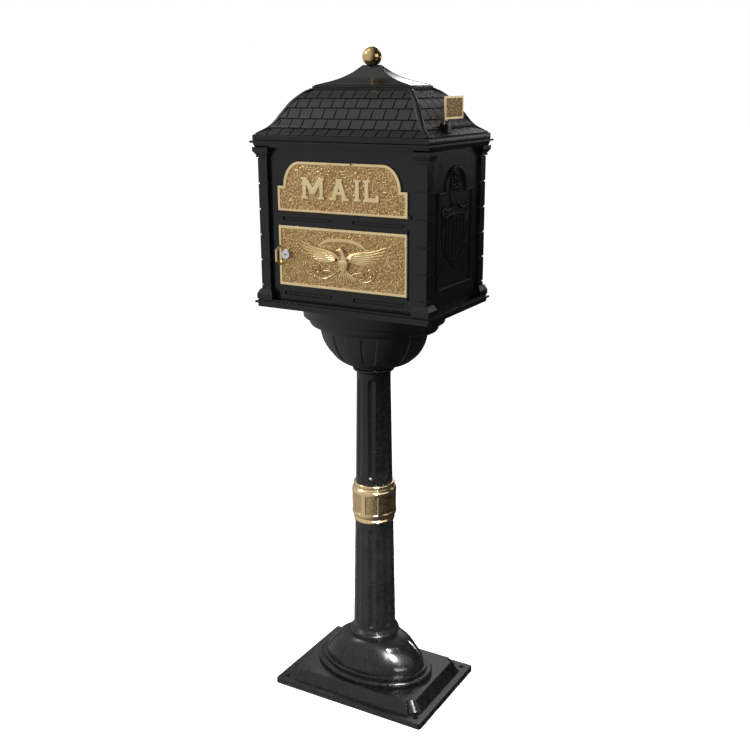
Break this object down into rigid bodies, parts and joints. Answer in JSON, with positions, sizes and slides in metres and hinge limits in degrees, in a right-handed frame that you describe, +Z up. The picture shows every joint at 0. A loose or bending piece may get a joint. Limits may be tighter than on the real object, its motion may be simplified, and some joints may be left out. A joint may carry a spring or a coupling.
{
  "type": "pedestal mailbox",
  "caption": "Locking letter box with a hipped shingle roof, brass doors and a swing flag, on a fluted post with an oval bell and a flanged base.",
  "frame": {"origin": "centre of the base flange's underside, on the post axis", "axes": "+Z up along the post, -Y towards the front of the box with both doors, +X to the right of the doors"},
  "size_m": [0.399, 0.279, 1.385],
  "materials": {
    "black_paint": "satin",
    "brass": "satin",
    "polished_brass": "polished",
    "chrome": "polished",
    "steel": "zinc plated"
  },
  "bodies": {
    "frame": {"base_flange": "black_paint", "base_bell": "black_paint", "lower_shaft": "black_paint", "upper_shaft": "black_paint", "top_bowl": "black_paint", "box_base": "black_paint", "cornice_frame": "black_paint", "corner_post_front_right": "black_paint", "corner_post_front_left": "black_paint", "corner_post_rear_right": "black_paint", "corner_post_rear_left": "black_paint", "front_panel": "black_paint", "rear_panel": "black_paint", "right_side_panel": "black_paint", "left_side_panel": "black_paint", "roof_shell": "black_paint", "roof_cap": "black_paint", "flag_bracket": "black_paint", "post_collar": "polished_brass", "ball_finial": "polished_brass", "tie_rod": "steel", "tie_rod_washers": "steel", "tie_rod_nuts": "steel", "corner_screws": "steel", "bowl_bolts": "steel", "mail_baffle": "steel", "baffle_screws": "steel", "roof_screws": "steel", "finial_stud": "steel", "finial_nut": "steel", "mail_door_pins": "steel", "locker_door_pins": "steel", "flag_pin": "steel"},
    "mail_door": {"mail_door": "brass"},
    "locker_door": {"locker_door": "brass", "door_handle": "brass", "lock_body": "chrome", "lock_nut": "steel"},
    "lock": {"lock_plug": "chrome", "lock_cam": "steel", "cam_screw": "steel"},
    "flag": {"flag": "brass"}
  },
  "joints": [
    {"name": "mail_door_hinge", "type": "hinge", "parent": "frame", "child": "mail_door", "pos_m": [0, -0.1219, 1.0759], "axis": [1, 0, 0], "range_deg": [0, 80]},
    {"name": "locker_door_hinge", "type": "hinge", "parent": "frame", "child": "locker_door", "pos_m": [0.1426, -0.1219, 0.98515], "axis": [0, 0, 1], "range_deg": [0, 110]},
    {"name": "lock_turn", "type": "hinge", "parent": "locker_door", "child": "lock", "pos_m": [-0.1266, -0.119, 0.988], "axis": [0, 1, 0], "range_deg": [0, 90]},
    {"name": "flag_pivot", "type": "hinge", "parent": "frame", "child": "flag", "pos_m": [0.178, -0.036, 1.2415], "axis": [1, 0, 0], "range_deg": [0, 90]}
  ]
}
